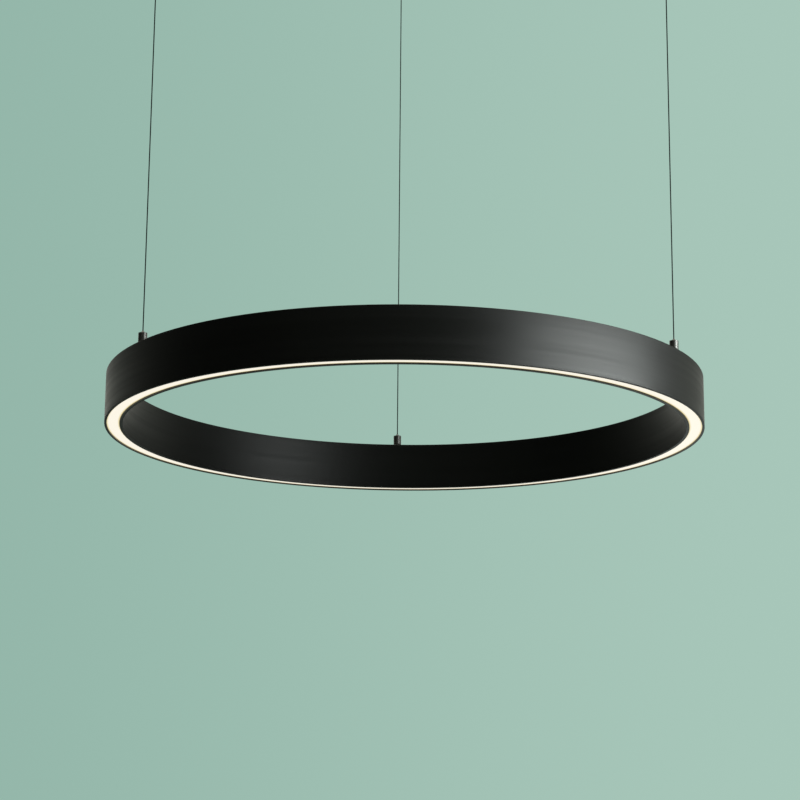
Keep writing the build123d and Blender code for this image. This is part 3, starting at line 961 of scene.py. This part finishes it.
# Each span is in a direction's own units, from -1 to 1: X to the right, Y to the rear and Z up.
world = bpy.data.worlds.new("studio")
world.use_nodes = True
tree = world.node_tree
tree.nodes.clear()
looking = add(tree, "ShaderNodeTexCoord").outputs["Generated"]
direction = add(tree, "ShaderNodeSeparateXYZ", {0: looking}).outputs
left_end = pass_over(tree, direction["X"], (-0.9, -0.5), (LEFT_SHARE, 1.0))
right_end = pass_over(tree, direction["X"], (0.75, 1.0), (1.0, RIGHT_SHARE))
low_half = pass_over(tree, direction["Z"], (-0.3, 0.1), (LOW_SHARE, 1.0))
dimmed = calc(tree, "MULTIPLY", calc(tree, "MULTIPLY", left_end, right_end), low_half)
rear_wall = pass_over(tree, direction["Y"], (-0.1, 1.0), (FRONT_GLOW, REAR_GLOW))
behind = calc(tree, "MULTIPLY", rear_wall, dimmed)
rim_wall = pass_over(tree, direction["Y"], (0.80, 1.0), (0.0, RIM_GLOW))
above = pass_over(tree, direction["Z"], (0.0, 0.2), (0.0, 1.0))
rim = calc(tree, "MULTIPLY", rim_wall, above)
ceiling = pass_over(tree, direction["Z"], (0.8, 0.98), (0.0, CEILING_GLOW))
room = calc(tree, "ADD", calc(tree, "ADD", behind, rim), ceiling)
room_light = add(tree, "ShaderNodeBackground", {"Color": ROOM_TONE, "Strength": room})
print("room lit by", len(tree.nodes), "nodes")

# %% Backdrop
# The two pales are painted shade and painted light on the backdrop, a shaded copy and a lit copy of one
# colour.
SHADED_PALE = (0.288, 0.462, 0.392)
LIT_PALE = (0.392, 0.570, 0.490)
BACKDROP_SHARE = 0.5

# Painted shade and light: the backdrop goes from the shaded pale at the left to the lit pale at the right.
painted_light_share = pass_over(tree, direction["X"], (-0.26, 0.26), (0.0, 1.0))
pale = two_tones(tree, painted_light_share, SHADED_PALE, LIT_PALE)
backdrop = add(tree, "ShaderNodeBackground", {"Color": pale, "Strength": 1.0})
light_path = add(tree, "ShaderNodeLightPath").outputs
mirrored = calc(tree, "ADD", light_path["Is Glossy Ray"], light_path["Is Transmission Ray"])
shown = calc(tree, "MULTIPLY", behind, BACKDROP_SHARE)
seen = calc(tree, "ADD", light_path["Is Camera Ray"], calc(tree, "MULTIPLY", mirrored, shown))
mixed = add(tree, "ShaderNodeMixShader", {0: seen, 1: room_light.outputs[0], 2: backdrop.outputs[0]})
add(tree, "ShaderNodeOutputWorld", {"Surface": mixed.outputs[0]})
bpy.context.scene.world = world
print("backdrop from", SHADED_PALE, "to", LIT_PALE)

# %% [markdown]
# ## The floor
#
# The floor is a wide disc at the height of a normal room below the ceiling. It takes the shadow in its
# middle and fades into the background, and it can be looked through from below.

# %% Floor
FLOOR_DROP = -2.5
FLOOR_RADIUS = 4.0
FLOOR_CORNERS = 96
FLOOR_TONE = (0.60, 0.85, 0.83, 1.0)
FADE_FROM, FADE_TO = 0.6, 3.9

disc = bpy.data.meshes.new("floor")
steps = [2 * pi * corner / FLOOR_CORNERS for corner in range(FLOOR_CORNERS)]
corners = [(FLOOR_RADIUS * cos(step), FLOOR_RADIUS * sin(step), FLOOR_DROP) for step in steps]
disc.from_pydata(corners, [], [tuple(range(FLOOR_CORNERS))])
floor = bpy.data.objects.new("floor", disc)
bpy.context.scene.collection.objects.link(floor)
surface = bpy.data.materials.new("pale_floor")
surface.use_nodes = True
tree = surface.node_tree
tree.nodes.clear()
place = add(tree, "ShaderNodeTexCoord").outputs["Object"]
flat = add(tree, "ShaderNodeVectorMath", {0: place, 1: (1.0, 1.0, 0.0)}, operation="MULTIPLY")
reach = add(tree, "ShaderNodeVectorMath", {0: flat.outputs[0]}, operation="LENGTH")
fade = add(
    tree,
    "ShaderNodeMapRange",
    {"Value": reach.outputs["Value"], "From Min": FADE_FROM, "From Max": FADE_TO},
)
matt = add(tree, "ShaderNodeBsdfDiffuse", {"Color": FLOOR_TONE})
clear = add(tree, "ShaderNodeBsdfTransparent")
top = add(tree, "ShaderNodeMixShader", {0: fade.outputs[0], 1: matt.outputs[0], 2: clear.outputs[0]})
under = add(tree, "ShaderNodeNewGeometry").outputs["Backfacing"]
both = add(tree, "ShaderNodeMixShader", {0: under, 1: top.outputs[0], 2: clear.outputs[0]})
add(tree, "ShaderNodeOutputMaterial", {"Surface": both.outputs[0]})
disc.materials.append(surface)
print("floor", -FLOOR_DROP, "m below the ceiling")
